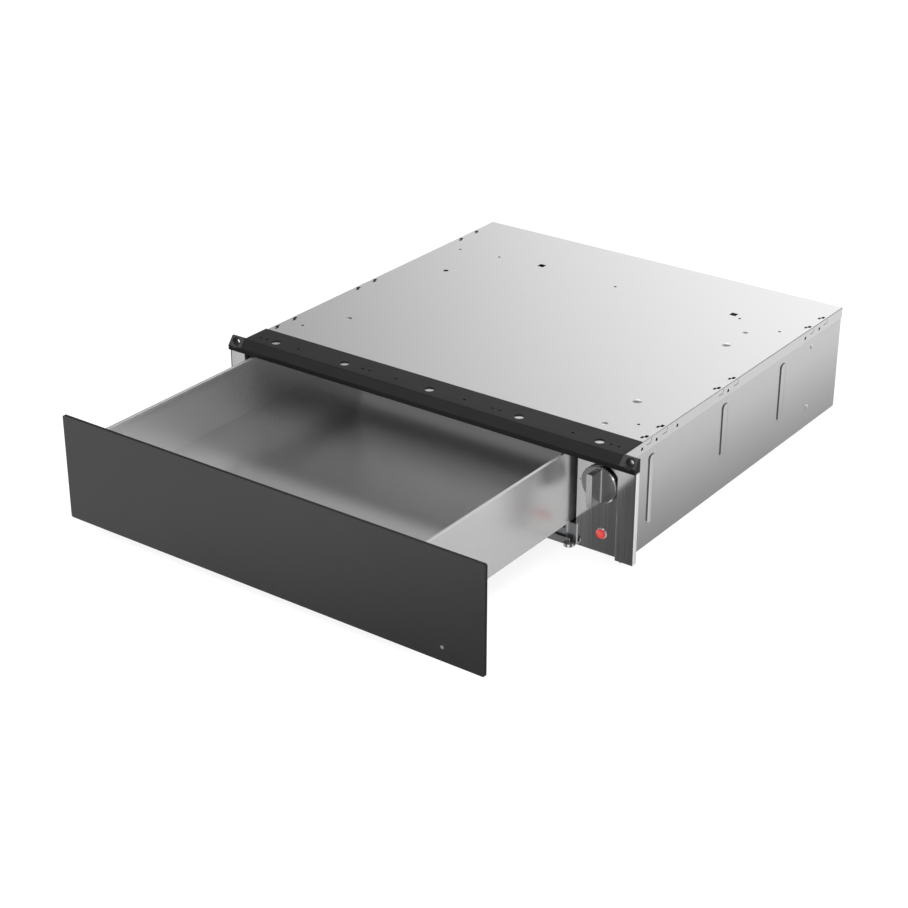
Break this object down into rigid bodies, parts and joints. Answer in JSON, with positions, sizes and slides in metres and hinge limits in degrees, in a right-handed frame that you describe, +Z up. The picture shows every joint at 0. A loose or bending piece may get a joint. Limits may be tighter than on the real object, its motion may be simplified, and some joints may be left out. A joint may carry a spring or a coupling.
{
  "type": "built-in warming drawer",
  "caption": "Low built-in warming drawer: sheet steel casing, wide drawer on runners with a dark glass front, black trim rail with screw ears, recessed knob and red pilot lamp.",
  "frame": {"origin": "Bottom of the casing on its centre line, in the plane where the front flanges and the screw ears seat against the front edges of the cabinet.", "axes": "+Z up, +Y into the cabinet niche, +X to the right as seen from the front, towards the control panel."},
  "size_m": [0.597, 0.8444, 0.1414],
  "materials": {
    "steel_sheet": "satin rolled sheet",
    "steel_cover": "satin rolled sheet, lighter",
    "drawer_steel": "smooth satin stainless sheet",
    "stainless_trim": "vertical brushed stainless",
    "runner_steel": "zinc plated, satin",
    "black_trim": "moulded, satin",
    "black_knob": "semi-gloss",
    "knob_metal": "fine satin with a bright chamfer",
    "lamp_rim": "polished",
    "red_lens": "translucent red",
    "pale_plastic": "moulded",
    "copper": "drawn tube",
    "heater_sheath": "oxidised sheath",
    "wire_sleeve": "woven sleeve",
    "fastener": "zinc plated",
    "dark_carrier": "powder coat",
    "dark_glass": "grey tinted, opaque backed, polished",
    "clear_window": "clear",
    "rubber": "soft"
  },
  "bodies": {
    "casing": {"base_pan": "steel_sheet", "side_panel_left": "steel_sheet", "side_panel_right": "steel_sheet", "back_panel": "steel_sheet", "top_cover": "steel_cover", "front_rail": "black_trim", "flange_left": "stainless_trim", "flange_right": "stainless_trim", "control_panel": "stainless_trim", "partition": "steel_sheet", "rear_bulkhead": "steel_sheet", "knob_bezel": "black_knob", "thermostat": "pale_plastic", "capillary_bulb": "copper", "lamp_bezel": "lamp_rim", "lamp_lens": "red_lens", "lamp_body": "pale_plastic", "runner_fixed_left": "runner_steel", "runner_fixed_right": "runner_steel", "runner_brackets": "runner_steel", "fan_frame": "black_trim", "heating_element": "heater_sheath", "heater_bracket": "steel_sheet", "thermal_cutout": "black_trim", "terminal_block": "pale_plastic", "cable_gland": "black_trim", "wiring_loom": "wire_sleeve", "latch_body": "pale_plastic", "side_rivets": "fastener", "runner_rivets": "fastener", "cover_screws": "fastener"},
    "drawer": {"drawer_floor": "drawer_steel", "drawer_side_left": "drawer_steel", "drawer_side_right": "drawer_steel", "drawer_back": "drawer_steel", "drawer_front_wall": "drawer_steel", "glass_carrier": "dark_carrier", "front_glass": "dark_glass", "pilot_window": "clear_window", "runner_top_left": "runner_steel", "runner_top_right": "runner_steel", "bumpers": "rubber", "front_screws": "fastener"},
    "middle_left": {"runner_middle_left": "runner_steel", "glides_left": "pale_plastic"},
    "middle_right": {"runner_middle_right": "runner_steel", "glides_right": "pale_plastic"},
    "knob": {"knob_body": "black_knob", "knob_cap": "knob_metal", "thermostat_shaft": "fastener"},
    "fan": {"fan_impeller": "black_trim"},
    "plunger": {"latch_plunger": "black_trim"}
  },
  "joints": [
    {"name": "drawer_slide", "type": "slide", "parent": "casing", "child": "drawer", "axis": [0, -1, 0], "range_m": [-0.278, 0.122]},
    {"name": "middle_left_slide", "type": "slide", "parent": "casing", "child": "middle_left", "axis": [0, -1, 0], "range_m": [-0.139, 0.061]},
    {"name": "middle_right_slide", "type": "slide", "parent": "casing", "child": "middle_right", "axis": [0, -1, 0], "range_m": [-0.139, 0.061]},
    {"name": "knob_turn", "type": "hinge", "parent": "casing", "child": "knob", "pos_m": [0.2407, 0, 0.088], "axis": [0, -1, 0], "range_deg": [-180, 90]},
    {"name": "fan_spin", "type": "hinge", "parent": "casing", "child": "fan", "pos_m": [-0.03, 0.515, 0.07], "axis": [0, 1, 0], "continuous": true},
    {"name": "latch_push", "type": "slide", "parent": "casing", "child": "plunger", "axis": [0, 1, 0], "range_m": [0, 0.003], "stiffness_N_per_m": 300, "springref_m": -0.003}
  ],
  "couplings": [
    {"joint": "middle_left_slide", "follows": "drawer_slide", "ratio": 0.5},
    {"joint": "middle_right_slide", "follows": "drawer_slide", "ratio": 0.5}
  ]
}
